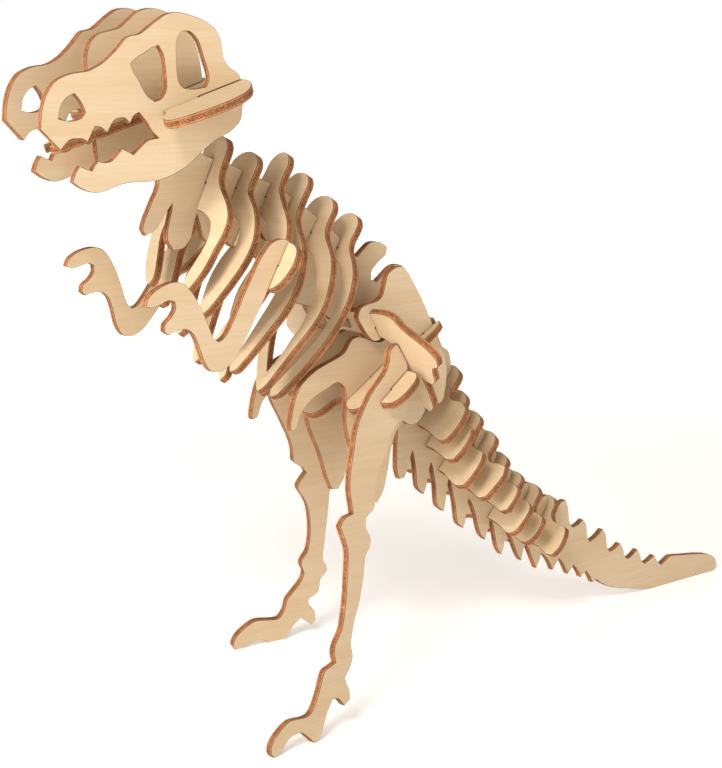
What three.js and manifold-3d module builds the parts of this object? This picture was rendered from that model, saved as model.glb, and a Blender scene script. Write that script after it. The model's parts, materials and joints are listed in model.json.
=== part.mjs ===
// A standing tyrannosaur skeleton made of flat plywood plates that cross in half-lap slots.
// Millimetres. The skull faces -X, the animal's left side is -Y, +Z is up, the floor is z = 0.
import * as THREE from "three";
import { mergeVertices } from "three/addons/utils/BufferGeometryUtils.js";
import Module from "manifold-3d";

const wasm = await Module();
wasm.setup();

// Driving dimensions
const PLY = 3; // thickness of every plate
const SLOT_GAP = 0.25; // free space on each side of a plate in a slot
const END_GAP = 0.2; // free space past the middle of a half-lap, in each of its two slots
const CURVE_STEP = 3.4; // longest straight piece in a curved outline
const ARM_Y = 31.4;
const PELVIS_Y = 12.7;
const ILIUM_Y = 16.5;
const SKULL_OPEN = 5.14; // degrees that each skull side turns out towards the back
const LEG_Y = 28; // legs cross the hip plate here
const LEG_X = -45;
const LEG_Z = 130;
const TOE_OUT = 5; // degrees

const radians = THREE.MathUtils.degToRad;

// ---------------------------------------------------------------- outlines

// A point where the outline turns sharply. Other points lie on a smooth curve.
const sharp = (x, y) => [x, y, true];

function curvePoints(points, closed) {
  const nodes = points.map(([x, y]) => new THREE.Vector3(x, y, 0));
  const curve = new THREE.CatmullRomCurve3(nodes, closed, "centripetal");
  const spans = closed ? nodes.length : nodes.length - 1;
  const out = [];
  for (let i = 0; i < spans; i++) {
    const length = nodes[i].distanceTo(nodes[(i + 1) % nodes.length]);
    const pieces = Math.min(6, Math.max(1, Math.round(length / CURVE_STEP)));
    for (let j = 0; j < pieces; j++) {
      const p = curve.getPoint((i + j / pieces) / spans);
      out.push(new THREE.Vector2(p.x, p.y));
    }
  }
  return out;
}

// The closed outline through the points, smooth except at its sharp points.
function outline(points) {
  const first = points.findIndex((p) => p[2]);
  if (first < 0) return curvePoints(points, true);
  const turned = [...points.slice(first), ...points.slice(0, first + 1)];
  const out = [];
  let from = 0;
  for (let i = 1; i < turned.length; i++) {
    if (!turned[i][2]) continue;
    out.push(...curvePoints(turned.slice(from, i + 1), false));
    from = i;
  }
  return out;
}

// Half an outline, from its top middle round the right side, completed by its mirror image.
function mirrored(half) {
  const left = half.map(([x, y, turn]) => [-x, y, turn]).reverse();
  const onAxis = (p) => Math.abs(p[0]) < 1e-6;
  return [...half, ...left.filter((p) => !onAxis(p))];
}

// ------------------------------------------------------------------ plates

// A lengthwise plate is drawn in world x and z.
function lengthwise(y) {
  return basis([0, y, 0], [1, 0, 0], [0, 0, 1]);
}

// A plate across the body is drawn in |y| and in the distance up its slope from (x, z).
// lean is the angle in degrees that its top tips back from the vertical.
function across(x, z, lean) {
  const a = radians(lean);
  return basis([x, 0, z], [0, 1, 0], [Math.sin(a), 0, Math.cos(a)]);
}

function basis(origin, right, up) {
  const ex = new THREE.Vector3(...right).normalize();
  const ey = new THREE.Vector3(...up).normalize();
  const ez = new THREE.Vector3().crossVectors(ex, ey).normalize();
  const frame = new THREE.Matrix4().makeBasis(ex, ey, ez);
  return frame.setPosition(...origin);
}

// Outlines run anticlockwise, holes clockwise.
function wound(points, clockwise) {
  return THREE.ShapeUtils.isClockWise(points) === clockwise ? points : points.reverse();
}

const plates = [];

function plate(name, frame, points, holes = []) {
  const shape = new THREE.Shape(wound(outline(points), false));
  for (const hole of holes) shape.holes.push(new THREE.Path(wound(outline(hole), true)));
  const solid = new THREE.ExtrudeGeometry(shape, { depth: PLY, bevelEnabled: false });
  solid.translate(0, 0, -PLY / 2);
  const made = { name, frame, solid: manifold(solid) };
  plates.push(made);
  return made;
}

function manifold(geometry) {
  const bare = geometry.clone();
  bare.deleteAttribute("normal");
  bare.deleteAttribute("uv");
  const merged = mergeVertices(bare, 1e-4);
  return new wasm.Manifold(
    new wasm.Mesh({
      numProp: 3,
      vertProperties: new Float32Array(merged.attributes.position.array),
      triVerts: new Uint32Array(merged.index.array),
    }),
  );
}

function axisOf(frame, column) {
  return new THREE.Vector3().setFromMatrixColumn(frame, column);
}

// The line along which the middle planes of two plates cross, directed upwards.
function crossing(a, b) {
  const na = axisOf(a.frame, 2);
  const nb = axisOf(b.frame, 2);
  const direction = new THREE.Vector3().crossVectors(na, nb).normalize();
  if (direction.z < 0) direction.negate();
  const da = na.dot(axisOf(a.frame, 3));
  const db = nb.dot(axisOf(b.frame, 3));
  const c = na.dot(nb);
  const point = new THREE.Vector3()
    .addScaledVector(na, (da - c * db) / (1 - c * c))
    .addScaledVector(nb, (db - c * da) / (1 - c * c));
  return { point, direction, sine: Math.sqrt(1 - c * c), cosine: Math.abs(c) };
}

// Takes a straight slot out of a plate, from a world point along a world direction.
function cutSlot(target, start, direction, length, width) {
  const toPlate = target.frame.clone().invert();
  const from = start.clone().applyMatrix4(toPlate);
  const to = start.clone().addScaledVector(direction, length).applyMatrix4(toPlate);
  const slot = new THREE.BoxGeometry(from.distanceTo(to), width, PLY * 3);
  slot.rotateZ(Math.atan2(to.y - from.y, to.x - from.x));
  slot.translate((from.x + to.x) / 2, (from.y + to.y) / 2, 0);
  target.solid = target.solid.subtract(manifold(slot));
}

// A half-lap: upper's slot opens up the crossing line, lower's slot opens down it.
// middle is the height of the point where the two slots meet, depth the length of each cut.
function halfLap(upper, lower, middle, depth = 40) {
  const { point, direction, sine, cosine } = crossing(upper, lower);
  const along = (middle - point.z) / direction.z;
  const meet = point.clone().addScaledVector(direction, along);
  const width = (PLY * (1 + cosine)) / sine + 2 * SLOT_GAP;
  const up = meet.clone().addScaledVector(direction, -END_GAP);
  const down = meet.clone().addScaledVector(direction, END_GAP);
  cutSlot(upper, up, direction, depth, width);
  cutSlot(lower, down, direction.clone().negate(), depth, width);
}

// --------------------------------------------------------------- the skull

const skullOutline = [
  sharp(-38.4, 225.4), [-37.9, 230], [-36.4, 235.4], [-32.8, 240.6], [-26.5, 243.2], [-21.1, 243.9], [-15.5, 246.6],
  [-9.8, 251.6], [-6.8, 254.6], [-2, 255.8], [2.5, 258.9], [8.2, 262.3], [12.1, 262.9],
  [22.4, 260], [26.4, 257.3], [28.7, 252.6], [29.5, 247.6], [31.4, 244.8], [35.5, 241.8],
  [36.5, 236.5], [36.6, 231], [35.6, 226], [31.8, 222.6], [26.3, 220], [21.5, 216.8],
  [14.8, 211.5], [8.8, 208.5], [2.9, 206.8], [-3.4, 206.7], [-9.9, 206.2], [-16.4, 204.2],
  [-20, 203.8], [-24.3, 205.3], [-27.8, 207.6], sharp(-25.1, 213), [-22.8, 211.9],
  sharp(-20.7, 211.2), [-19.6, 213.2], sharp(-18.3, 214.3), [-16, 213.8], [-13.6, 214.2],
  sharp(-9.6, 218.2), [-7.8, 217.2], [-5.5, 216], [-3, 218.2], [0, 220.5], sharp(4, 221.2),
  [1.6, 223.6], [-0.4, 226.8], sharp(-3, 229.9), [-4.8, 229.2], sharp(-6.5, 226.3),
  [-8, 228], [-9.8, 228.4], sharp(-12.4, 227.5), [-14, 225], sharp(-15, 223.6),
  [-17, 225.4], sharp(-19.3, 225.8), [-20.8, 223], sharp(-21.9, 220.8), [-23.6, 221.8],
  [-25.5, 222], [-28.4, 221.6], sharp(-31.6, 218.4),
];
const nostril = [
  [-32, 228.5], [-31.4, 232], [-29.2, 235.2], [-26.2, 236.7], [-24, 234], [-22.4, 230.5], [-24, 228.6], [-28, 227.8],
];
const cheekWindow = [
  [-5.6, 246], [-0.5, 249.5], [4.8, 251.9], [6.4, 249], [7.2, 242.5], [7.3, 237.3], [5.6, 234.4],
  [2.9, 233.4], [0.2, 235.3], [-3.2, 241],
];
const eyeWindow = [
  [11.4, 247], [11.6, 253.5], [13.2, 256.2], [16.2, 256.6], [19.2, 254.2], [21.8, 247.4],
  [23.6, 240.4], [22.4, 238], [18, 237.3], [13.4, 238], [11.8, 240.5],
];
const SKULL_AT = {
  left: [-143, -17, 0],
  right: [-142.3, 16.4, 1.7], // sits a little further back and higher in its slots
};

function skullSide(name, side, at) {
  const turn = radians(SKULL_OPEN);
  const back = [Math.cos(turn), side * Math.sin(turn), 0];
  return plate(name, basis(at, back, [0, 0, 1]), skullOutline, [nostril, cheekWindow, eyeWindow]);
}

const headCrossOutline = mirrored([
  [0, 2], [10, 2.2], [18, 2.3], [23, 2], [28, 0.4], [33, -3], [37.2, -6.8], [40, -11.4],
  [41, -17], [40.4, -24.5], [37.6, -33.3], [35.2, -37.4], [32, -38.2], [28, -37], [23, -32.6],
  [17.3, -30.7], [13.5, -31.2], [10.6, -35], [9, -43], [7.2, -54], [5.6, -62], [3.6, -66.4], [0, -67.4],
]);

// --------------------------------------------------------------- the spine

// The joint between the spine plate and the tail plate runs parallel to the hip plate.
const HIP_PLATE_X = -44;
const HIP_PLATE_Z = 124;
const HIP_PLATE_SLOPE = 33; // degrees that the hip plate rises to the back
const BUTT_ABOVE = 7; // the joint is this far above the hip plate's middle
const BUTT_GAP = 0.5;
const BUTT_FRONT = -36;
const BUTT_BACK = -9.5;

function buttZ(x) {
  return HIP_PLATE_Z + BUTT_ABOVE + (x - HIP_PLATE_X) * Math.tan(radians(HIP_PLATE_SLOPE));
}

const spineOutline = [
  // front of the skull core and its crown
  [-151.5, 209.5], [-153.2, 216], [-154.4, 230], [-156, 243], [-156, 248.5], [-154.2, 253.3],
  [-151.5, 255.6], [-148, 256.6], [-143, 257.8], [-140.1, 260], [-135.7, 263.2], [-131, 264.4],
  [-124.5, 263.2], [-119, 260.8], [-115, 256.5], [-112, 250.5], [-110.3, 243], [-109.8, 236], [-111, 228],
  [-113.4, 220],
  // nape and back, just under the lobes of the ribs
  [-111, 214], [-104.3, 211.3], [-98, 209], [-91.6, 206.2], [-85, 203.3], [-79, 200.6],
  [-69.6, 194.8], [-58.2, 186.4], [-50, 180], [-46.2, 176], [-43.6, 172.6], [-40.7, 171],
  // two lobes over the hips
  [-37.6, 173.6], [-34, 176], [-29.3, 175.8], [-25.6, 173.6], [-26.2, 170.8], [-30, 168], [-33.3, 164.6],
  [-33.6, 161.4], [-31, 160.4], [-27.6, 163], [-24, 165.6], [-20.7, 166.4], [-18, 165.6], [-15.8, 162],
  [-13, 157.8],
  sharp(BUTT_BACK, buttZ(BUTT_BACK)),
  sharp(BUTT_FRONT, buttZ(BUTT_FRONT)),
  // underside, forwards
  [-37.4, 139.6], [-41, 142.4], [-47, 144.4], [-54, 148], [-60, 152.4], [-65, 154.2], [-70.5, 156], [-76, 161],
  [-82, 168.5], [-88, 174.6], [-94, 177], [-99, 179.4], [-102.2, 184], [-104.2, 188.4],
  // three neck fingers
  [-105.8, 186.4], [-106.6, 183.4], [-108.7, 181.6], [-110.9, 183.4], [-112.2, 188.5],
  [-113.4, 192.3], [-114.7, 189.2], [-116, 184.4], [-119.6, 180.3], [-123.8, 180.1], [-126, 184], [-125, 190.5],
  [-123.6, 196.6], [-126.6, 193.4], [-131, 187.8], [-134.8, 185.9], [-136, 188.4], [-133.4, 195],
  [-129, 204.4],
  // underside of the jaw core
  [-130.5, 208.2], [-136, 208.8], [-144, 208.6],
];

// ---------------------------------------------------------------- the ribs

// Each rib plate: the point where its slot meets the spine's, its lean, half of its outline
// (from the top of its lobe, round the outside, to the top of the arch), and how far under
// that point the two slots meet.
const ribs = [
  { x: -108.1, z: 202.7, lean: 25, meet: 0, half: [
    [0, 18.1], [4.2, 17.2], [7, 14.2], [7.5, 10.5], [7.7, 5.5], [8.9, 2], [11.3, -0.8], [19.5, -7.3],
    [22.9, -12], [23.2, -17.5], [21.4, -23.4], [20, -29.6], [17.2, -35.5], [14.2, -39.6],
    [11.6, -40.8], [10, -38.5], [10.4, -35], [13, -28], [15.2, -21.5], [13.8, -14.8], [8.4, -11.6], [0, -10.3],
  ] },
  { x: -94.8, z: 200.7, lean: 30, meet: -1, half: [
    [0, 13.9], [4.6, 12.9], [8, 9.8], [8.6, 6], [8.8, 1.2], [10, -1.8], [12.9, -4.1], [18, -8],
    [22.4, -13.1], [25.9, -20.6], [25.6, -28], [23.4, -35], [20.4, -42], [17.2, -48],
    [14.4, -50.4], [11.6, -49], [11.4, -45], [13.6, -36.5], [16.8, -26.5],
    [15.9, -18.4], [10.8, -12.8], [0, -10.4],
  ] },
  { x: -82.2, z: 195.8, lean: 31, meet: 0, half: [
    [0, 18.7], [3.6, 17.6], [5.9, 14.2], [6.2, 9], [7.3, 4.4], [10.1, 1.2], [15, -3], [20.7, -7.9],
    [24.9, -14.5], [26.9, -23], [26.4, -33], [23, -43.5], [18.6, -53], [15.6, -57.4],
    [12.8, -58.6], [10.8, -56.4], [12.8, -49.5], [16.4, -39.5], [18.5, -28.5], [16.8, -20],
    [13.6, -15], [8.4, -9.8], [0, -6],
  ] },
  { x: -70.8, z: 193.2, lean: 31, meet: -4.6, half: [
    [0, 12.5], [4.2, 11.5], [6.8, 8.4], [7.1, 4], [7.6, -2], [9, -6], [11.9, -8.9], [19.3, -15.2],
    [23.8, -21.6], [26.9, -30.5], [26.6, -40.6], [21.6, -53.3], [17, -63], [14.4, -67.2],
    [11.6, -68.4], [9.9, -66], [12.2, -57.4], [14.7, -46.5], [16.7, -36.5], [16.6, -28.5],
    [13.6, -20.6], [8, -14.6], [0, -11.2],
  ] },
  { x: -61, z: 181.8, lean: 31, meet: -0.8, half: [
    [0, 15], [4.8, 13.8], [7.9, 10.4], [8.3, 6], [8.8, 2], [10.9, -1.4], [15.8, -5.6], [20.5, -10],
    [24.6, -17], [27.6, -28], [26.2, -36.5], [22.7, -45], [18.6, -55], [15.4, -62.4], [12.6, -65.2],
    [10.7, -62.4], [13.6, -55.4], [17.2, -47], [20.2, -36.4], [20.2, -28], [18.5, -21.6],
    [13.5, -14.4], [8, -9.6], [0, -6.8],
  ] },
  { x: -48.6, z: 175.3, lean: 32, meet: -1, half: [
    [0, 14.1], [4.3, 13], [7.2, 9.8], [7.5, 6], [7.5, 2.6], [9, -0.6], [13.4, -5], [17.7, -10],
    [21.6, -20], [21.1, -34], [15.6, -49], [10, -58.6], [6.6, -63], [3.4, -64.4], [2, -61.6],
    [5.2, -55.4], [9.6, -48.2], [14.8, -37], [17.3, -25.4], [16.6, -19.5], [13, -14], [8, -8.2],
    [0, -4.8],
  ] },
];

// ------------------------------------------------------ shoulder and arms

const SHOULDER_LEAN = 28;
const shoulderOutline = mirrored([
  [0, 18], [4, 17.4], [7.4, 14.8], [11.4, 11.8], [17.4, 8.9], [24, 8.4], [32.2, 9.4], [36.8, 8.7],
  [39.9, 6.6], [40.9, 2.3], [38.9, -4.2], [35.6, -7.8], [31, -9.2], [26.6, -8.2], [22.4, -4.4],
  [18.4, 0.8], [14.2, 5], [8, 5.2], [0, 4],
]);
const armOutline = [
  // claw, palm and forearm
  [-154.2, 166.4], [-153.6, 168.6], [-152.2, 170.4], [-149.4, 172.2], [-146.3, 173.4], [-142.8, 174],
  [-139.6, 173.3], [-136.6, 170.6], [-133.3, 165.6], [-130.2, 159], [-127.6, 153.4], [-125.7, 151.6],
  // inner elbow and upper arm
  [-123.4, 152.6], [-119.2, 158.5], [-115.3, 165.9], [-111, 173.5], [-106.8, 180], [-102.6, 184.2],
  [-98.1, 185.2], [-94, 183.2], [-91.9, 179], [-93.2, 174], [-97, 169], [-102.6, 165.6],
  [-107.3, 162.6], [-111.6, 155.6], [-116.2, 148.4], [-120.4, 143.4],
  // elbow and the forearm's underside
  [-124.5, 141.1], [-128.6, 141.4], [-131.6, 145.2], [-133.9, 151.4], [-136.2, 155.8], [-139, 157.4],
  // lower claw, then the notch between the claws
  [-142.4, 157.2], [-145.4, 156], [-147.2, 157.2], [-147, 159.8], [-144.6, 162], [-142.7, 164.8],
  [-142.9, 167.2], [-145.2, 167.9], [-148.8, 166.7], [-151.2, 166],
];
const ARM_TURN = 6.2; // degrees that the right forearm is lifted against the left
const SHOULDER_X = -98.9;
const SHOULDER_Z = 175.1;

function raised(points, degrees, lift) {
  const c = Math.cos(radians(degrees));
  const s = Math.sin(radians(degrees));
  return points.map(([x, z, turn]) => {
    const dx = x - SHOULDER_X;
    const dz = z - SHOULDER_Z;
    return [SHOULDER_X + dx * c + dz * s + lift[0], SHOULDER_Z - dx * s + dz * c + lift[1], turn];
  });
}

// ---------------------------------------------------------------- the hips

const pelvisOutline = [
  [-81.9, 109.8], [-81.6, 115], [-79.8, 121.5], [-77.2, 126.6], [-69.2, 132.1], [-62, 134.6], [-56.4, 137.1],
  [-53, 141.4], [-50.1, 142.4], [-43.8, 140.2], [-39.4, 139.1], [-35.4, 140.4], [-31.9, 140.4], [-27.6, 135.6],
  [-23.8, 128.6], [-20.6, 119.8], [-17.4, 114.4], [-16.6, 108.4], [-19.8, 104.6], [-23.8, 104],
  [-27.6, 106], [-30.8, 102.6], [-33.2, 97], [-34.9, 89], [-37.6, 79], [-40.4, 75.2], [-43.6, 75.4],
  [-45.8, 80], [-49.4, 91], [-54.6, 103], [-56, 110.5], [-55.6, 118.4], [-56.8, 123.6], [-59.8, 125.8], [-65, 124],
  [-72.1, 120.8], [-77.4, 115.6], [-79.6, 110.4],
];
const iliumOutline = [
  [-31.2, 168.3], [-35, 168], [-38.6, 165.6], [-40, 161.4], [-41.5, 157.4], [-44, 155.9], [-48.3, 155.2],
  [-51.6, 154], [-53, 150.6], [-50.8, 146.6], [-48, 142.8], [-45.4, 140.7], [-42, 140.8], [-38.5, 142.6],
  [-33.6, 143.8], [-29.8, 140.6], [-27.4, 134.6], [-24.6, 127.8], [-20.2, 121.4], [-16.4, 115.6],
  [-13, 111.6], [-10.6, 112.6], [-9.3, 116.8], [-8.4, 122.8], [-9, 128.4], [-11.6, 135.3], [-15.9, 143.7],
  [-20, 152.1], [-26.2, 162.1],
];

// The hip yoke tips forwards and hangs two fingers down each side behind the thigh.
const YOKE_X = -46.4;
const YOKE_Z = 151.9;
const YOKE_LEAN = -30;
const yokeOutline = mirrored([
  [0, -0.3], [10, -0.2], [19, 0.8], [27, 1.4], [31.6, 0.2], [34.4, -4], [39, -7.6], [44.4, -11.8],
  [47.6, -16.4], [46.4, -20], [43.2, -21.2], [41.4, -24], [40.4, -27.8], [38, -29.8], [35, -29],
  [33.2, -27.4], [32.9, -31], [32.4, -36.5], [31, -42.4], [28, -45.2], [25, -44], [24.2, -39],
  [24.4, -30], [24.6, -20], [24, -13.4], [20.6, -11.2], [14, -11.2], [0, -11],
]);

const hipPlateOutline = mirrored([
  [0, 38.6], [9, 38.4], [16.5, 38], [20, 36.8], [21.4, 33], [21.5, 22], [21.7, 12.6], [24, 8.9], [31, 8.6],
  [34.8, 8], [37, 5.4], [38.2, 0.8], [38.4, -4.8], [36.8, -8.2], [32.6, -9.6], [28.6, -10.4], [25.4, -13],
  [22.4, -16], [19.4, -16.6], [16.4, -15.2], [13.4, -12], [9.6, -11.8], [7.4, -14.4], [6.4, -19.6], [4, -23.2],
  [0, -24],
]);

// ---------------------------------------------------------------- the legs

// Drawn in x and z before the splay.
const leftLegOutline = [
  [-42.4, 140.7], [-45.8, 138.7], [-46.9, 134.8], [-48.4, 131.4], [-52.5, 127.5], [-56.9, 123.9],
  [-62.7, 116.5], [-65.6, 111.3], [-67.8, 104.1], [-69.9, 96.9], [-71.1, 89.6], [-70.6, 84], [-70.2, 80.4],
  [-74.5, 79.4], [-77, 76.7], [-75.4, 72.1], [-74.1, 67.4], [-75.1, 58], [-76.7, 48.8], [-79.7, 38.2],
  [-83.1, 33.6], [-84.2, 30.7], [-83.8, 26.6], [-89.1, 24.9], [-91.7, 20.1], [-94.2, 15],
  [-98.1, 10.4], [-107.7, 10.6], [-112.6, 8.2], [-116.6, 4.6], [-117.4, 1.4], [-115.8, -1.4],
  [-112.2, 0.9], [-108.2, 4.3], [-102.4, 4.7], [-99.2, 1.9], [-96, -1.2], [-92.9, 2], [-89.3, 9], [-86.4, 13],
  [-84, 12.8], [-80.9, 9.2], [-77.7, 11], [-77.9, 14.4], [-79.6, 19.6], [-76.6, 23.2], [-75.1, 26.5],
  [-75.5, 31.3], [-72.9, 40.2], [-69.7, 47.2], [-66.9, 56.2], [-65, 63.6], [-62.4, 66.8], [-62.2, 69.8],
  [-64.1, 73.8], [-63.9, 77.4], [-59.6, 80.2], [-58.3, 84.6], [-57.9, 89], [-55.6, 93.8], [-51.7, 99.6],
  [-48.9, 105.6], [-45.3, 109.8], [-41.4, 111.6], [-39, 115], [-37.9, 122], [-37.5, 129], [-37.7, 132.4],
  [-40.4, 137.4],
];
const rightLegOutline = [
  [-42.4, 140.7], [-46.6, 139.4], [-50.4, 135.4], [-54.4, 129], [-58.6, 122], [-60.6, 115.6], [-58.9, 110],
  [-55.4, 104], [-52.6, 99], [-48.8, 92], [-46.9, 86.6], [-46, 81.8], [-41.6, 78.6], [-39.4, 75.8],
  [-41.8, 72.6], [-43, 69.8], [-39.9, 64.9], [-37.5, 60.8], [-35.4, 53.5], [-34.5, 44], [-35.3, 38.2],
  [-37.3, 35.1], [-37.6, 32.6], [-35.8, 28.7], [-36.5, 25.4], [-39.6, 21.2], [-43.1, 17], [-44.1, 12],
  [-46.2, 9], [-51.6, 9.2], [-57.8, 10], [-63.6, 7.2], [-67.2, 3.4], [-68, 0.4], [-66.2, -2.4], [-60.4, -0.4],
  [-54.2, 0.2], [-48.9, -2.4], [-42.6, -2.2], [-39.3, 2.6], [-34.9, 6.6], [-32.3, 4.8], [-29.2, 2.3],
  [-27.4, 4.4], [-28.5, 8.6], [-31.9, 13.2], [-31.9, 15.4], [-27.6, 18], [-27, 23.8], [-24, 28],
  [-26.6, 33.1], [-26.8, 42.6], [-26.6, 56.7], [-26.6, 66.1], [-25.2, 74.8], [-26.6, 84.2], [-29.4, 93],
  [-32.4, 101.5], [-36, 108.4], [-38.4, 115], [-37.9, 122], [-37.5, 129], [-37.7, 132.4], [-40.4, 137.4],
];

function leg(name, side, splay, points) {
  const toe = radians(TOE_OUT);
  const back = new THREE.Vector3(Math.cos(toe), -side * Math.sin(toe), 0);
  const up = new THREE.Vector3(0, -side * Math.sin(radians(splay)), Math.cos(radians(splay)));
  up.addScaledVector(back, -up.dot(back)).normalize();
  const origin = new THREE.Vector3(LEG_X, side * LEG_Y, LEG_Z);
  origin.addScaledVector(back, -LEG_X).addScaledVector(up, -LEG_Z);
  return plate(name, basis(origin.toArray(), back.toArray(), up.toArray()), points);
}

// ---------------------------------------------------------------- the tail

// Each vertebra plate: the middle of the top of its lobe, its lean and half of its outline.
const vertebrae = [
  { x: 11.6, z: 120.8, lean: 43, half: [
    [0, 0], [4.2, -1.2], [6.9, -3.8], [7.6, -8], [8.6, -13], [11.6, -15.2], [17.6, -15.4], [21.6, -17.6],
    [23.2, -22], [23.1, -29], [21.8, -33], [18.4, -34], [12, -32.2], [6, -30.6], [0, -30],
  ] },
  { x: 14, z: 110.3, lean: 41.5, half: [
    [0, 0], [4.8, -0.6], [8.2, -3], [9.4, -6.6], [9.8, -11], [12.4, -13.4], [17, -14], [21, -15.2],
    [22.3, -19], [22.2, -26], [21, -30], [17.8, -31], [12, -29.6], [6, -28.2], [0, -27.8],
  ] },
  { x: 22.5, z: 100.2, lean: 42, half: [
    [0, 0], [4.3, -0.7], [7.5, -3], [8.4, -6.6], [8.9, -11.6], [11.4, -15], [16, -16], [19.8, -17],
    [21.3, -21], [21.1, -29], [19.9, -33], [16.4, -34], [11, -32.6], [6, -30.6], [0, -29.8],
  ] },
  { x: 30.6, z: 90.4, lean: 43, half: [
    [0, 0], [4.4, -0.3], [7.9, -2.6], [9, -6.4], [9.5, -10.6], [12.4, -13.2], [17.6, -13], [22, -13.4],
    [23.7, -17.4], [22.8, -24], [21.8, -28.6], [18.6, -30], [12, -28.2], [6, -27.2], [0, -27],
  ] },
  { x: 37.7, z: 80.2, lean: 40, half: [
    [0, 0], [4.3, -0.7], [7.8, -3], [8.4, -6.4], [10, -10.2], [14.4, -11.8], [19, -12], [22, -13.8],
    [22.9, -19], [22.4, -23.4], [19.6, -25], [13.6, -23.6], [7.6, -22.4], [0, -22],
  ] },
  { x: 46.6, z: 70.3, lean: 42, half: [
    [0, 0], [4.6, -0.4], [7.4, -2.8], [7.9, -6.4], [9.8, -10.2], [14, -11.4], [18.6, -12], [20.9, -14.6],
    [21.2, -20.6], [20.2, -25.6], [17.6, -27.6], [11.6, -26], [6, -24.6], [0, -24],
  ] },
  { x: 56.9, z: 63.3, lean: 38, half: [
    [0, 0], [4.8, -0.5], [7.8, -3.2], [8.2, -8], [9.6, -11.8], [13.6, -12.4], [16.8, -13.4], [17.9, -17],
    [17.1, -22.6], [15, -25.8], [11.6, -26.4], [5.6, -24.6], [0, -24],
  ] },
  { x: 68.6, z: 55.8, lean: 33, half: [
    [0, 0], [3.4, -0.8], [5.5, -3.2], [6, -7.4], [8.4, -10.2], [13.4, -10.9], [17, -12], [18.4, -15.6],
    [18, -21.6], [16, -24.8], [12.8, -25.2], [7.4, -23.4], [0, -22.6],
  ] },
];
const VERTEBRA_MEET = 0.5; // the slots meet at this share of a plate's height

// A point at height s on a vertebra plate, offset back from its middle plane.
function onVertebra({ x, z, lean }, s, back) {
  const a = radians(lean);
  return [x + s * Math.sin(a) + back * Math.cos(a), z + s * Math.cos(a) - back * Math.sin(a)];
}

// The tail's top edge rises behind each vertebra to a tooth that ends in front of the next.
function tailTop() {
  const points = [];
  for (const v of vertebrae) {
    points.push(onVertebra(v, -0.8, -4.2), onVertebra(v, -2.6, -2.2), onVertebra(v, -8, 0));
    points.push(onVertebra(v, -8.4, 3.4));
  }
  return points;
}

const TAIL_END = 180.6;
const FLOOR_FROM = 137; // the straight edge that rests on the floor starts here
const tailOutline = [
  sharp(-42, buttZ(-42) - BUTT_GAP),
  sharp(BUTT_BACK - 0.6, buttZ(BUTT_BACK - 0.6) - BUTT_GAP),
  [-5, 145.4], [0.6, 136.4], [3.6, 130.4], [6.6, 128.4],
  ...tailTop().slice(1),
  // the bare end of the tail
  [73.6, 52.6], [76.2, 53.1], [77.9, 49.6], [79.2, 42.4], [81, 39.6], [84.4, 40.2], [87.6, 42], [89.6, 39.4],
  [90.9, 33], [92.4, 30.8], [96.4, 32.4], [100.4, 35.2], [102.4, 32.4], [103.9, 25.8], [105.4, 23.6],
  [108.8, 24.4], [112, 26.4], [114.2, 23.6], [115.8, 19.2], [117.8, 17.8], [121, 19.2], [123.8, 21.2],
  [125.8, 18.4], [127.4, 14.6], [129.4, 13.2], [132.6, 14.4], [135.6, 16], [138, 12.6], [140.6, 10.4],
  [143.4, 11.8], [146.5, 13.3], [156, 12.2], [166, 10.8], [175, 8.6], [179.4, 5.6], [TAIL_END, 2.2],
  sharp(178.6, 0), sharp(FLOOR_FROM, 0),
  // the fingers of the underside, forwards
  sharp(105.6, 6.8), [100.4, 9.6], [97.2, 12], [94.8, 11], [93.4, 13.8], [90.6, 17.4], [87.2, 15], [85.6, 18], [82.4, 21.8],
  [78.9, 18.2], [77.2, 21.4], [73, 26.6], [69.2, 22], [67.6, 25.4], [62.2, 31.2], [60.9, 28],
  [59.2, 24.8], [57.4, 28.4], [52.2, 37.4], [51, 34.4], [50, 30.2], [47.6, 33.6], [44.4, 40.6],
  [41.2, 45.6], [39.9, 40.4], [38.1, 35.4], [35.9, 38.4], [33.6, 47], [31.4, 53], [30.2, 48.6],
  [28.6, 43.8], [26, 46.4], [22.4, 57], [18.9, 63.6], [17.6, 57.4], [16.1, 51.2], [13.2, 53.6],
  [11, 64], [7.6, 74.2], [6.4, 67.6], [4.9, 60.6], [1.6, 63.4], [0.2, 73.6], [-2.3, 82.6], [-3.8, 76.4],
  [-5.9, 69.8], [-9, 72.8], [-10.4, 81.4], [-12.2, 89.2], [-13.8, 84.8], [-16.2, 78.6], [-19, 78.4],
  [-20.2, 82], [-20.2, 96], [-20.6, 108], [-24.4, 115.6], [-33, 121], [-40, 125.4], [-42.4, 128.4],
];

// ---------------------------------------------------------------- assembly

const spine = plate("spine_plate", lengthwise(0), spineOutline);
const tail = plate("tail_plate", lengthwise(0), tailOutline);
const headCross = plate("head_cross_plate", across(-107.4, 238.3, 72), headCrossOutline);
const HEAD_MEET = 233.2; // height where the cross plate's slots meet those of the skull sides
halfLap(skullSide("skull_left", -1, SKULL_AT.left), headCross, HEAD_MEET);
halfLap(skullSide("skull_right", 1, SKULL_AT.right), headCross, HEAD_MEET);
halfLap(spine, headCross, 228.4, 45);

ribs.forEach(({ x, z, lean, meet, half }, i) => {
  const rib = plate(`rib_${i + 1}`, across(x, z, lean), mirrored(half));
  halfLap(spine, rib, z + meet * Math.cos(radians(lean)), 24);
});

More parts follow.
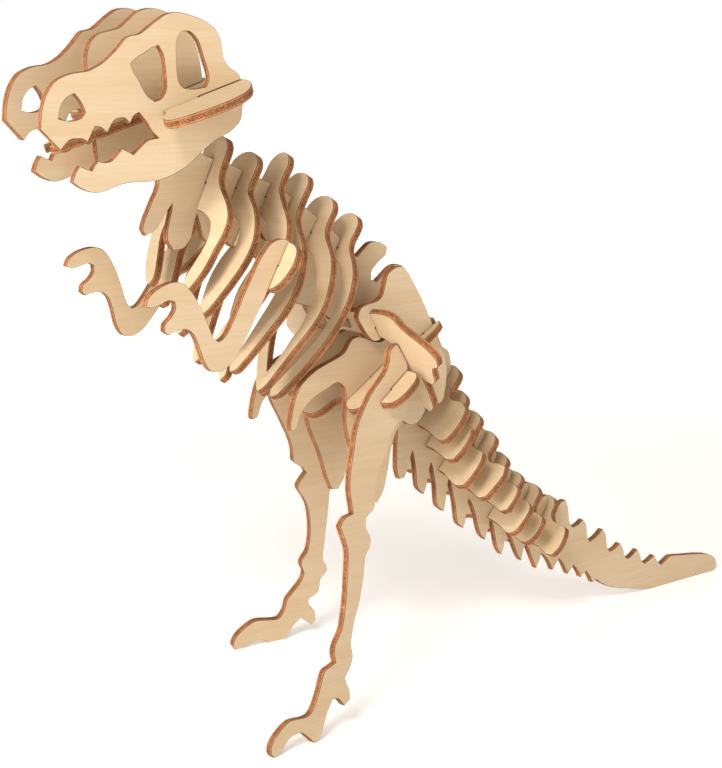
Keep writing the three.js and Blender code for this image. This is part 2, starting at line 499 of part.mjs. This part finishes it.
const shoulder = plate(
  "shoulder_plate",
  across(SHOULDER_X, SHOULDER_Z, SHOULDER_LEAN),
  shoulderOutline,
);
halfLap(shoulder, spine, SHOULDER_Z + 10, 12);
const leftArm = plate("arm_left", lengthwise(-ARM_Y), armOutline);
const rightArm = plate("arm_right", lengthwise(ARM_Y), raised(armOutline, ARM_TURN, [5, 0.4]));
for (const arm of [leftArm, rightArm]) halfLap(shoulder, arm, SHOULDER_Z, 22);

const hipPlate = plate(
  "hip_plate",
  across(HIP_PLATE_X, HIP_PLATE_Z, 90 - HIP_PLATE_SLOPE),
  hipPlateOutline,
);
const yoke = plate("hip_yoke", across(YOKE_X, YOKE_Z, YOKE_LEAN), yokeOutline);

// The height of the hip plate's middle plane over x.
const hipPlateZ = (x) => HIP_PLATE_Z + (x - HIP_PLATE_X) * Math.tan(radians(HIP_PLATE_SLOPE));

for (const [name, y] of [["pelvis_left", -PELVIS_Y], ["pelvis_right", PELVIS_Y]]) {
  halfLap(plate(name, lengthwise(y), pelvisOutline), hipPlate, hipPlateZ(-43), 24);
}
for (const [name, y] of [["ilium_left", -ILIUM_Y], ["ilium_right", ILIUM_Y]]) {
  const ilium = plate(name, lengthwise(y), iliumOutline);
  halfLap(yoke, ilium, YOKE_Z - 5.4, 14);
  halfLap(hipPlate, ilium, hipPlateZ(-20), 16);
}
halfLap(yoke, spine, YOKE_Z - 4.4, 12);
halfLap(hipPlate, tail, hipPlateZ(-26), 24);

const legs = [
  leg("leg_left", -1, 5.4, leftLegOutline),
  leg("leg_right", 1, 10.2, rightLegOutline),
];
for (const one of legs) halfLap(one, hipPlate, hipPlateZ(-46), 20);

vertebrae.forEach((v, i) => {
  const made = plate(`tail_vertebra_${i + 1}`, across(v.x, v.z, v.lean), mirrored(v.half));
  const height = -v.half[v.half.length - 1][1];
  const meet = onVertebra(v, -height * VERTEBRA_MEET, 0)[1];
  halfLap(tail, made, meet, 26);
});

// The soles are trimmed flat to the floor.
const floor = new THREE.BoxGeometry(600, 400, 40).translate(0, 0, -20);
for (const one of legs) {
  const toPlate = one.frame.clone().invert();
  one.solid = one.solid.subtract(manifold(floor.clone().applyMatrix4(toPlate)));
}

// ------------------------------------------------------------------ meshes

const birch = { color: 0xe6c79c, roughness: 0.72, metalness: 0 };

function meshOf({ name, frame, solid }) {
  const { vertProperties, triVerts } = solid.getMesh();
  const geometry = new THREE.BufferGeometry();
  geometry.setAttribute("position", new THREE.BufferAttribute(vertProperties, 3));
  geometry.setIndex(new THREE.BufferAttribute(triVerts, 1));
  const facets = geometry.toNonIndexed();
  facets.computeVertexNormals();
  const mesh = new THREE.Mesh(facets, new THREE.MeshStandardMaterial(birch));
  mesh.name = name;
  frame.decompose(mesh.position, mesh.quaternion, mesh.scale);
  return mesh;
}

const skeleton = new THREE.Group();
skeleton.add(...plates.map(meshOf));

// The object's box is centred over the origin and stands on z = 0.
const box = new THREE.Box3().setFromObject(skeleton, true);
const centre = box.getCenter(new THREE.Vector3());
skeleton.position.set(-centre.x, -centre.y, -box.min.z);

export default skeleton;
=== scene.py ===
import json
import math
import random

import bmesh
import bpy
from mathutils import Matrix, Vector

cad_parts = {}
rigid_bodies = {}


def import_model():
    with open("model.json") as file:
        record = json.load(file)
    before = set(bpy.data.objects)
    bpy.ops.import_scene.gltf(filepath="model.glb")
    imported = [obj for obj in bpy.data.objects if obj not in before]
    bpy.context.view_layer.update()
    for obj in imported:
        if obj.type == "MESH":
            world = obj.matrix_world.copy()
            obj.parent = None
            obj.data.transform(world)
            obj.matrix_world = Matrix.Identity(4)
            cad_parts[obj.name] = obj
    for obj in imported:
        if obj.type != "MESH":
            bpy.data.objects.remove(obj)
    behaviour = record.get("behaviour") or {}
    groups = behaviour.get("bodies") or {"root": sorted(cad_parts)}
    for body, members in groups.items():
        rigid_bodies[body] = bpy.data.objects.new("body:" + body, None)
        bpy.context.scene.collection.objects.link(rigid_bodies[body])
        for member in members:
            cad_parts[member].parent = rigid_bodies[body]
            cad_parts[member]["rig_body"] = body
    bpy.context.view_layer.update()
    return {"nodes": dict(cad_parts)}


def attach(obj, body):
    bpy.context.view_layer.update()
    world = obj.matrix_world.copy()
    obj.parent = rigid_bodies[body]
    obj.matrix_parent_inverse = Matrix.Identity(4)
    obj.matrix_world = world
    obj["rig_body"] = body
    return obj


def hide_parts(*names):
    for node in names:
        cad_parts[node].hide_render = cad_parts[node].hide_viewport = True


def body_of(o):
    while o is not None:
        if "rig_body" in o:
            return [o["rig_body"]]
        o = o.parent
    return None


# A slot-together tyrannosaur skeleton of thin birch plywood. Each plate is rebuilt from its
# CAD node's outline, with smooth curves, eased edges, wood faces and scorched cut edges.
# Outlines are handled in millimetres, Blender's objects are in metres.

MM = 0.001
EDGE_EASE = 0.16  # width of the worn arris between a face and a cut edge
FINE_STEP = 0.9  # longest straight piece of a smoothed outline
CORNER_TURN = 52  # degrees: an outline point that turns more than this stays sharp
SLOT_CORNER_TURN = 30  # the same beside a straight side longer than SLOT_SIDE
SLOT_SIDE = 6.0
FLATNESS = 0.02  # points this close to a face's plane lie on it
COLLINEAR = 0.4  # degrees: a point that turns less than this is left out
LEAST_MITRE = 0.45  # keeps an inset corner from running far past a very sharp turn
CREASE = math.radians(38)  # faces that meet at more than this are shaded apart
GRAIN_SHIFT = 900  # millimetres that each plate's figure may be moved in the veneer
PALEST, DARKEST = 1.025, 0.955  # tone of one plate against another
FLOOR_TOUCH = 1e-7  # metres: a plate may dip this far without being cut

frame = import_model()
scene = bpy.context.scene


# ------------------------------------------------------------------ camera and light

CAMERA_AT = Vector((-0.44199, -0.52145, 0.25757))
CAMERA_AZIMUTH = math.radians(-38.0)
CAMERA_ELEVATION = math.radians(11.82)
CAMERA_LENS = 79.69  # millimetres, for the sensor's longer side
CAMERA_SENSOR = 36.0

WHITE_UP_TO = 0.2  # height of a direction, 1 being straight up
DIM_FROM = 0.45
DIM_OVERHEAD = 0.44  # the world's strength from that height up
OVERHEAD_TINT = (1.0, 0.86, 0.72, 1.0)
KEY_AT = (-1.1, -0.7, 1.2)
KEY_SIZE = 0.5
KEY_WATTS = 16.0
FRONT_AT = (-1.5, -0.3, 0.45)  # reaches the ribs' fronts between the skull sides
FRONT_SIZE = 0.7
FRONT_WATTS = 15.0
KEY_COLOUR = (1.0, 0.975, 0.94)
FRONT_COLOUR = (1.0, 0.985, 0.96)
BACK_COLOUR = (0.98, 0.99, 1.0)
LIGHTS_AIM = (0.0, 0.0, 0.12)
BACK_AT = (1.3, 1.2, 0.9)
BACK_SIZE = 1.0
BACK_WATTS = 5.0
GLOW_NEAR, GLOW_FAR = 0.22, 0.8  # the floor's own light, near the object and far from it
GLOW_FROM, GLOW_TO = 0.3, 1.1  # metres from the middle
FLOOR_HALF = 30.0
FLOOR_DROP = 0.00002  # keeps the floor just under the soles
FLOOR_COLOUR = (0.95, 0.95, 0.955, 1.0)
WHITE = (1.0, 1.0, 1.0, 1.0)


def camera():
    azimuth, elevation = CAMERA_AZIMUTH, CAMERA_ELEVATION
    right = Vector((math.cos(azimuth), math.sin(azimuth), 0))
    back = Vector(
        (
            math.sin(azimuth) * math.cos(elevation),
            -math.cos(azimuth) * math.cos(elevation),
            math.sin(elevation),
        )
    )
    up = back.cross(right)
    data = bpy.data.cameras.new("camera")
    data.sensor_width = CAMERA_SENSOR
    data.sensor_fit = "AUTO"
    data.lens = CAMERA_LENS
    data.clip_start = 0.01
    data.clip_end = 100.0
    made = bpy.data.objects.new("camera", data)
    axes = Matrix((right, up, back)).transposed().to_4x4()
    axes.translation = CAMERA_AT
    made.matrix_world = axes
    scene.collection.objects.link(made)
    scene.camera = made


def area_light(name, at, size, watts, colour):
    data = bpy.data.lights.new(name, "AREA")
    data.shape = "DISK"
    data.size = size
    data.energy = watts
    data.color = colour
    made = bpy.data.objects.new(name, data)
    made.location = at
    made.rotation_euler = (Vector(LIGHTS_AIM) - Vector(at)).to_track_quat("-Z", "Y").to_euler()
    scene.collection.objects.link(made)


def map_range(tree, source, low, high, at_low, at_high, kind="LINEAR"):
    """The socket source, carried over from low..high to at_low..at_high."""
    node = tree.nodes.new("ShaderNodeMapRange")
    node.interpolation_type = kind
    for socket, number in zip(list(node.inputs)[1:5], (low, high, at_low, at_high)):
        socket.default_value = number
    tree.links.new(source, node.inputs[0])
    return node.outputs[0]


def studio():
    """White round the horizon, dimmer and warmer overhead, with a key, a front and a back light."""
    world = bpy.data.worlds.new("studio")
    world.use_nodes = True
    tree = world.node_tree
    background = tree.nodes["Background"]
    place = tree.nodes.new("ShaderNodeTexCoord")
    height = tree.nodes.new("ShaderNodeSeparateXYZ")
    tree.links.new(place.outputs["Generated"], height.inputs[0])
    up = height.outputs["Z"]
    strength = map_range(tree, up, WHITE_UP_TO, DIM_FROM, 1.0, DIM_OVERHEAD, "SMOOTHSTEP")
    tree.links.new(strength, background.inputs["Strength"])
    tint = tree.nodes.new("ShaderNodeMix")
    tint.data_type = "RGBA"
    tint.inputs[6].default_value = WHITE
    tint.inputs[7].default_value = OVERHEAD_TINT
    tree.links.new(map_range(tree, up, WHITE_UP_TO, DIM_FROM, 0.0, 1.0), tint.inputs[0])
    tree.links.new(tint.outputs[2], background.inputs["Color"])
    scene.world = world
    scene.view_settings.view_transform = "Standard"
    scene.view_settings.look = "None"
    area_light("key", KEY_AT, KEY_SIZE, KEY_WATTS, KEY_COLOUR)
    area_light("front", FRONT_AT, FRONT_SIZE, FRONT_WATTS, FRONT_COLOUR)
    area_light("back", BACK_AT, BACK_SIZE, BACK_WATTS, BACK_COLOUR)


def floor():
    """A wide pale floor that glows more with distance, so that it meets the white horizon."""
    mesh = bpy.data.meshes.new("floor")
    signs = ((-1, -1), (1, -1), (1, 1), (-1, 1))
    corners = [Vector((x * FLOOR_HALF, y * FLOOR_HALF, -FLOOR_DROP)) for x, y in signs]
    mesh.from_pydata(corners, [], [(0, 1, 2, 3)])
    made = bpy.data.objects.new("floor", mesh)
    scene.collection.objects.link(made)
    material = bpy.data.materials.new("floor_white")
    material.use_nodes = True
    tree = material.node_tree
    shader = tree.nodes["Principled BSDF"]
    shader.inputs["Base Color"].default_value = FLOOR_COLOUR
    shader.inputs["Roughness"].default_value = 0.8
    shader.inputs["Specular IOR Level"].default_value = 0.1
    shader.inputs["Emission Color"].default_value = WHITE
    place = tree.nodes.new("ShaderNodeTexCoord")
    distance = tree.nodes.new("ShaderNodeVectorMath")
    distance.operation = "LENGTH"
    tree.links.new(place.outputs["Object"], distance.inputs[0])
    away = distance.outputs["Value"]
    glow = map_range(tree, away, GLOW_FROM, GLOW_TO, GLOW_NEAR, GLOW_FAR, "SMOOTHSTEP")
    tree.links.new(glow, shader.inputs["Emission Strength"])
    mesh.materials.append(material)


# ------------------------------------------------------------------ materials


def linear(red, green, blue):
    """A colour given as 0-255 screen values, as the shader's linear values."""

    def one(value):
        value /= 255
        return value / 12.92 if value <= 0.04045 else ((value + 0.055) / 1.055) ** 2.4

    return (one(red), one(green), one(blue), 1.0)


WOOD_DEPTH = 0.66  # scales the face colours, so that the lit wood keeps its tone

# The face: two tones of the figure, then what is laid over them.
CREAM, WARM_CREAM = linear(246, 221, 184), linear(240, 210, 168)
GRAIN_TAN = linear(228, 193, 147)
PORE_BROWN = linear(180, 134, 94)
CLOUD_PINK = linear(238, 202, 164)
GRAIN_SHARE, PORE_SHARE, CLOUD_SHARE = 0.55, 0.25, 0.3

# The cut edge, from the middle of its thickness outwards.
CORE_TAN, CORE_BURNT = linear(158, 104, 66), linear(72, 42, 27)
CORE_TICK = linear(220, 176, 132)
VENEER_ORANGE, VENEER_BROWN = linear(196, 134, 86), linear(146, 91, 56)
ARRIS_BURNT = linear(70, 42, 28)
CORE_TO_VENEER = (0.8, 0.95)  # millimetres from the middle of the thickness
VENEER_TO_ARRIS = (1.26, 1.4)
EDGE_WANDER = 0.25  # millimetres that those borders wander
SCORCH_DEPTH = 0.34  # how much darker the most scorched stretches are


class Nodes:
    """Builds a material's node tree. The attribute "plate" holds a point's place on its plate in
    millimetres: x along the grain, y across it and z through the thickness."""

    def __init__(self, name):
        self.material = bpy.data.materials.new(name)
        self.material.use_nodes = True
        self.tree = self.material.node_tree
        self.shader = self.tree.nodes["Principled BSDF"]
        self.plate = self.attribute("plate", "Vector")
        self.tone = self.attribute("tone", "Fac")

    def add(self, kind, **settings):
        node = self.tree.nodes.new(kind)
        for key, value in settings.items():
            setattr(node, key, value)
        return node

    def set(self, socket, value):
        if isinstance(value, bpy.types.NodeSocket):
            self.tree.links.new(value, socket)
        else:
            socket.default_value = value

    def attribute(self, name, output):
        return self.add("ShaderNodeAttribute", attribute_name=name).outputs[output]

    def maths(self, operation, *values):
        node = self.add("ShaderNodeMath", operation=operation)
        for socket, value in zip(node.inputs, values):
            self.set(socket, value)
        return node.outputs[0]

    def noise(self, stretch, detail=3.0, roughness=0.55, distortion=0.0):
        """Noise over the plate. stretch is how often it changes per millimetre on each axis."""
        mapping = self.add("ShaderNodeMapping")
        self.set(mapping.inputs["Vector"], self.plate)
        mapping.inputs["Scale"].default_value = stretch
        noise = self.add("ShaderNodeTexNoise")
        self.set(noise.inputs["Vector"], mapping.outputs[0])
        noise.inputs["Scale"].default_value = 1.0
        noise.inputs["Detail"].default_value = detail
        noise.inputs["Roughness"].default_value = roughness
        noise.inputs["Distortion"].default_value = distortion
        return noise.outputs["Fac"]

    def between(self, value, low, high):
        """0 below low, 1 above high, and smooth between them."""
        return map_range(self.tree, value, low, high, 0.0, 1.0, "SMOOTHSTEP")

    def share(self, value, low, high, most):
        """The same, but rising only to most."""
        return self.maths("MULTIPLY", self.between(value, low, high), most)

    def mix(self, share, first, second):
        node = self.add("ShaderNodeMix", data_type="RGBA")
        self.set(node.inputs[0], share)
        self.set(node.inputs[6], first)
        self.set(node.inputs[7], second)
        return node.outputs[2]

    def times(self, colour, factor):
        node = self.add("ShaderNodeVectorMath", operation="SCALE")
        self.set(node.inputs[0], colour)
        self.set(node.inputs["Scale"], factor)
        return node.outputs[0]

    def bump(self, height, strength, distance):
        node = self.add("ShaderNodeBump")
        self.set(node.inputs["Height"], height)
        node.inputs["Strength"].default_value = strength
        node.inputs["Distance"].default_value = distance * MM
        self.set(self.shader.inputs["Normal"], node.outputs[0])


def face_material():
    """Rotary-cut birch veneer: pale cream, long soft figure, fine grain and short brown pores."""
    n = Nodes("birch_face")
    figure = n.noise((0.012, 0.11, 0.0), detail=2.0, distortion=0.5)
    grain = n.noise((0.06, 1.3, 0.3), detail=4.0, roughness=0.62)
    fibres = n.noise((0.2, 5.0, 0.3), detail=2.0)
    cloud = n.noise((0.03, 0.05, 0.0), detail=1.0)
    pores = n.between(n.noise((0.42, 4.2, 0.2), detail=1.0), 0.7, 0.77)
    colour = n.mix(n.between(figure, 0.25, 0.75), CREAM, WARM_CREAM)
    colour = n.mix(n.share(grain, 0.35, 0.85, GRAIN_SHARE), colour, GRAIN_TAN)
    colour = n.mix(n.maths("MULTIPLY", pores, PORE_SHARE), colour, PORE_BROWN)
    colour = n.mix(n.share(cloud, 0.45, 0.75, CLOUD_SHARE), colour, CLOUD_PINK)
    shade = n.maths("ADD", n.maths("MULTIPLY", fibres, 0.05), 0.975)
    colour = n.times(colour, n.maths("MULTIPLY", shade, n.tone))
    n.set(n.shader.inputs["Base Color"], n.times(colour, WOOD_DEPTH))
    n.set(n.shader.inputs["Roughness"], n.maths("ADD", n.maths("MULTIPLY", grain, 0.2), 0.5))
    n.shader.inputs["Specular IOR Level"].default_value = 0.28
    height = n.maths("ADD", n.maths("MULTIPLY", grain, 0.6), n.maths("MULTIPLY", fibres, 0.4))
    n.bump(n.maths("SUBTRACT", height, pores), 0.25, 0.05)
    return n.material


def edge_material():
    """A scorched cut edge: orange face veneers, a darker flecked core and a burnt arris."""
    n = Nodes("scorched_edge")
    through = n.add("ShaderNodeSeparateXYZ")
    n.set(through.inputs[0], n.plate)
    depth = n.maths("ABSOLUTE", through.outputs[2])
    wander = n.maths("MULTIPLY", n.maths("SUBTRACT", n.noise((0.5, 0.5, 0.0)), 0.5), EDGE_WANDER)
    depth = n.maths("ADD", depth, wander)
    flecks = n.noise((2.1, 2.1, 2.6), detail=3.0, roughness=0.7)
    ticks = n.noise((0.9, 0.9, 3.6), detail=2.0)
    scorch = n.noise((0.16, 0.16, 0.1), detail=2.0)
    core = n.mix(n.between(flecks, 0.46, 0.6), CORE_TAN, CORE_BURNT)
    core = n.mix(n.between(ticks, 0.64, 0.72), core, CORE_TICK)
    veneer = n.mix(n.between(flecks, 0.4, 0.7), VENEER_ORANGE, VENEER_BROWN)
    colour = n.mix(n.between(depth, *CORE_TO_VENEER), core, veneer)
    colour = n.mix(n.between(depth, *VENEER_TO_ARRIS), colour, ARRIS_BURNT)
    shade = n.maths("ADD", n.share(scorch, 0.3, 0.7, -SCORCH_DEPTH), 1.1)
    n.set(n.shader.inputs["Base Color"], n.times(colour, shade))
    n.shader.inputs["Roughness"].default_value = 0.72
    n.shader.inputs["Specular IOR Level"].default_value = 0.2
    n.bump(flecks, 0.5, 0.12)
    return n.material


# ------------------------------------------------------------------ plates


def cad_plate(node):
    """A CAD node's flat plate: a point of its middle plane, its three directions, and its
    thickness and outline loops in millimetres. The wood is on the left of every loop."""
    bm = bmesh.new()
    bm.from_mesh(frame["nodes"][node].data)
    bmesh.ops.remove_doubles(bm, verts=bm.verts, dist=0.01 * MM)
    bm.normal_update()
    facing = max(bm.faces, key=lambda f: f.calc_area()).normal.copy()
    heights = [v.co.dot(facing) for v in bm.verts]
    sides = []
    for level in (max(heights), min(heights)):
        on = {v for v in bm.verts if abs(v.co.dot(facing) - level) < FLATNESS * MM}
        sides.append([f for f in bm.faces if all(v in on for v in f.verts)])
    thickness = max(heights) - min(heights)
    areas = [sum(f.calc_area() for f in side) for side in sides]
    if areas[1] > areas[0]:
        sides.reverse()
        facing.negate()
    front = sides[0]
    right, up = plate_axes(facing)
    origin = facing * (front[0].verts[0].co.dot(facing) - thickness / 2)
    follows = {}
    chosen = set(front)
    for face in front:
        for loop in face.loops:
            if any(f not in chosen for f in loop.edge.link_faces):
                follows[loop.vert] = loop.link_loop_next.vert
    loops = []
    while follows:
        start, after = follows.popitem()
        ring = [start]
        while after is not start:
            ring.append(after)
            after = follows.pop(after)
        loops.append([Vector((v.co.dot(right), v.co.dot(up))) / MM for v in ring])
    bm.free()
    return origin, right, up, facing, thickness / MM, loops


def plate_axes(facing):
    """Directions on a plate: the grain's, and the one across it."""
    grain = Vector((1, 0, 0)) if abs(facing.y) > 0.8 else Vector((0, 1, 0))
    right = (grain - facing * grain.dot(facing)).normalized()
    return right, facing.cross(right)


def turn_at(points, i):
    """The degrees by which a closed outline turns at point i."""
    before = points[i] - points[i - 1]
    after = points[(i + 1) % len(points)] - points[i]
    return math.degrees(before.angle(after, 0.0))


def smoothed(points):
    """The closed outline as a smooth curve through its points, straight between sharp corners."""
    points = [p for i, p in enumerate(points) if turn_at(points, i) > COLLINEAR]
    count = len(points)
    sharp = []
    for i in range(count):
        turn = turn_at(points, i)
        sides = (points[i] - points[i - 1], points[(i + 1) % count] - points[i])
        beside_slot = max(side.length for side in sides) > SLOT_SIDE
        sharp.append(turn > (SLOT_CORNER_TURN if beside_slot else CORNER_TURN))
    out = []
    for i in range(count):
        a, b = points[i], points[(i + 1) % count]
        before = a * 2 - b if sharp[i] else points[i - 1]
        after = b * 2 - a if sharp[(i + 1) % count] else points[(i + 2) % count]
        straight = sharp[i] and sharp[(i + 1) % count]
        pieces = 1 if straight else max(1, round((b - a).length / FINE_STEP))
        for j in range(pieces):
            out.append(centripetal(before, a, b, after, j / pieces))
    low = Vector((min(p.x for p in points), min(p.y for p in points)))
    high = Vector((max(p.x for p in points), max(p.y for p in points)))
    for p in out:
        p.x = min(max(p.x, low.x), high.x)
        p.y = min(max(p.y, low.y), high.y)
    return out


def centripetal(p0, p1, p2, p3, share):
    """A point on the centripetal Catmull-Rom curve from p1 to p2."""
    t0 = 0.0
    t1 = t0 + max((p1 - p0).length, 1e-4) ** 0.5
    t2 = t1 + max((p2 - p1).length, 1e-4) ** 0.5
    t3 = t2 + max((p3 - p2).length, 1e-4) ** 0.5
    t = t1 + (t2 - t1) * share
    a1 = p0 * ((t1 - t) / (t1 - t0)) + p1 * ((t - t0) / (t1 - t0))
    a2 = p1 * ((t2 - t) / (t2 - t1)) + p2 * ((t - t1) / (t2 - t1))
    a3 = p2 * ((t3 - t) / (t3 - t2)) + p3 * ((t - t2) / (t3 - t2))
    b1 = a1 * ((t2 - t) / (t2 - t0)) + a2 * ((t - t0) / (t2 - t0))
    b2 = a2 * ((t3 - t) / (t3 - t1)) + a3 * ((t - t1) / (t3 - t1))
    return b1 * ((t2 - t) / (t2 - t1)) + b2 * ((t - t1) / (t2 - t1))


def inset(points, amount):
    """The outline moved towards its left-hand side, which is where the wood is."""
    out = []
    for i, p in enumerate(points):
        before = (p - points[i - 1]).normalized()
        after = (points[(i + 1) % len(points)] - p).normalized()
        normal = Vector((-before.y - after.y, before.x + after.x))
        if normal.length < 1e-6:
            normal = Vector((-before.y, before.x))
        normal.normalize()
        cosine = max(LEAST_MITRE, normal.dot(Vector((-before.y, before.x))))
        out.append(p + normal * (amount / cosine))
    return out


def build_plate(node, face, edge, rng):
    """Makes the visual piece of one CAD node: eased walls round every loop and two flat faces."""
    origin, right, up, facing, thickness, loops = cad_plate(node)
    half = thickness / 2
    shift = (rng.uniform(-GRAIN_SHIFT, GRAIN_SHIFT), rng.uniform(-GRAIN_SHIFT, GRAIN_SHIFT))
    tone = rng.uniform(DARKEST, PALEST)
    bm = bmesh.new()
    place = bm.verts.layers.float_vector.new("plate")
    toned = bm.verts.layers.float.new("tone")

    def vertex(p, w):
        v = bm.verts.new(origin + (right * p.x + up * p.y + facing * w) * MM)
        v[place] = Vector((p.x + shift[0], p.y + shift[1], w))
        v[toned] = tone
        return v

    cap_edges = ([], [])
    for loop in loops:
        outline = smoothed(loop)
        eased = inset(outline, EDGE_EASE)
        rings = [
            [vertex(p, half) for p in eased],
            [vertex(p, half - EDGE_EASE) for p in outline],
            [vertex(p, EDGE_EASE - half) for p in outline],
            [vertex(p, -half) for p in eased],
        ]
        count = len(outline)
        for outer, inner in zip(rings, rings[1:]):
            for i in range(count):
                j = (i + 1) % count
                wall = bm.faces.new((outer[i], inner[i], inner[j], outer[j]))
                wall.material_index = 1
                wall.smooth = True
        for edges, ring in zip(cap_edges, (rings[0], rings[-1])):
            for i in range(count):
                edges.append(bm.edges.get((ring[i], ring[(i + 1) % count])))
    for edges, normal in zip(cap_edges, (facing, -facing)):
        bmesh.ops.triangle_fill(bm, edges=edges, use_beauty=True, normal=normal)
    bmesh.ops.recalc_face_normals(bm, faces=bm.faces)
    clip_to_floor(bm)
    mesh = bpy.data.meshes.new(f"ply_{node}")
    bm.to_mesh(mesh)
    bm.free()
    mesh.set_sharp_from_angle(angle=CREASE)
    mesh.materials.append(face)
    mesh.materials.append(edge)
    piece = bpy.data.objects.new(f"ply_{node}", mesh)
    scene.collection.objects.link(piece)
    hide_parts(node)
    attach(piece, body_of(frame["nodes"][node])[0])


def clip_to_floor(bm):
    """Cuts the plate off flat where it would pass through the floor."""
    if min(v.co.z for v in bm.verts) > -FLOOR_TOUCH:
        return
    cut = bmesh.ops.bisect_plane(
        bm,
        geom=bm.verts[:] + bm.edges[:] + bm.faces[:],
        dist=FLOOR_TOUCH,
        plane_co=(0, 0, 0),
        plane_no=(0, 0, -1),
        clear_outer=True,
    )
    rim = [e for e in cut["geom_cut"] if isinstance(e, bmesh.types.BMEdge)]
    filled = bmesh.ops.triangle_fill(bm, edges=rim, use_beauty=True, normal=(0, 0, -1))
    for made in filled["geom"]:
        if isinstance(made, bmesh.types.BMFace):
            made.material_index = 1


camera()
studio()
floor()
rng = random.Random(7)
face_birch = face_material()
edge_birch = edge_material()
for node in sorted(frame["nodes"]):
    build_plate(node, face_birch, edge_birch, rng)
